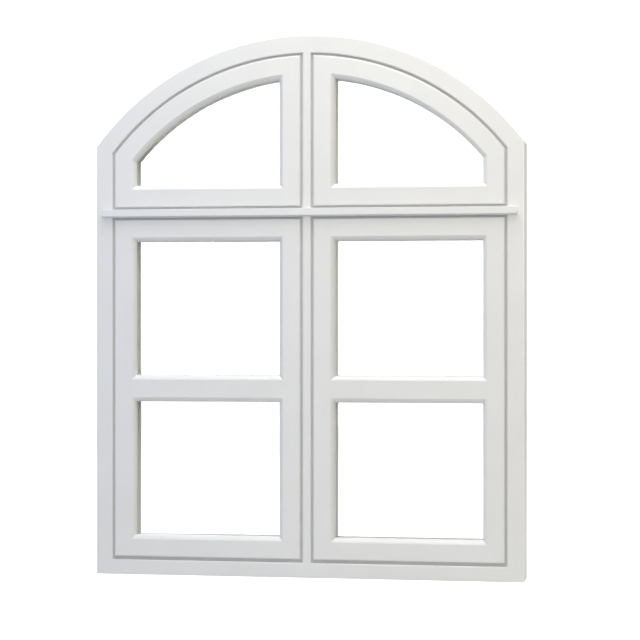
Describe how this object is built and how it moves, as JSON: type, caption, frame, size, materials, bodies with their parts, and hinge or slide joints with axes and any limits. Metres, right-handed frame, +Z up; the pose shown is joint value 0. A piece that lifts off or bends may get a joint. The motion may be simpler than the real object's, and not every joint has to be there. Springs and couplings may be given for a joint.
{
  "type": "arched casement window",
  "caption": "Segmental-arched white painted timber casement window: frame, mullion and transom with a drip moulding, arched upper sashes, barred lower sashes and sealed glass units.",
  "frame": {"origin": "middle of the sill's underside, halfway through the frame's depth", "axes": "+Z up, +X to the right as seen from outside, -Y towards the weather side"},
  "size_m": [1.2, 0.1365, 1.4999],
  "materials": {
    "painted_timber": "satin white paint over planed softwood",
    "clear_glass": "clear float glass",
    "spacer_metal": "mill finish",
    "seal_rubber": "matt",
    "handle_metal": "satin brushed"
  },
  "bodies": {
    "root": {"arched_head": "painted_timber", "drip_moulding": "painted_timber", "left_handle_lever": "handle_metal", "left_handle_rose": "handle_metal", "left_jamb": "painted_timber", "lower_left_beads": "painted_timber", "lower_left_bottom_rail": "painted_timber", "lower_left_glass": "clear_glass", "lower_left_glazing_bar": "painted_timber", "lower_left_meeting_stile": "painted_timber", "lower_left_outer_stile": "painted_timber", "lower_left_spacers": "spacer_metal", "lower_left_top_rail": "painted_timber", "lower_mullion": "painted_timber", "lower_right_beads": "painted_timber", "lower_right_bottom_rail": "painted_timber", "lower_right_glass": "clear_glass", "lower_right_glazing_bar": "painted_timber", "lower_right_meeting_stile": "painted_timber", "lower_right_outer_stile": "painted_timber", "lower_right_spacers": "spacer_metal", "lower_right_top_rail": "painted_timber", "lower_weather_seals": "seal_rubber", "right_handle_lever": "handle_metal", "right_handle_rose": "handle_metal", "right_jamb": "painted_timber", "sill": "painted_timber", "transom": "painted_timber", "upper_left_arched_rail": "painted_timber", "upper_left_beads": "painted_timber", "upper_left_bottom_rail": "painted_timber", "upper_left_glass": "clear_glass", "upper_left_meeting_stile": "painted_timber", "upper_left_outer_stile": "painted_timber", "upper_left_spacer": "spacer_metal", "upper_mullion": "painted_timber", "upper_right_arched_rail": "painted_timber", "upper_right_beads": "painted_timber", "upper_right_bottom_rail": "painted_timber", "upper_right_glass": "clear_glass", "upper_right_meeting_stile": "painted_timber", "upper_right_outer_stile": "painted_timber", "upper_right_spacer": "spacer_metal", "upper_weather_seals": "seal_rubber"}
  },
  "joints": []
}
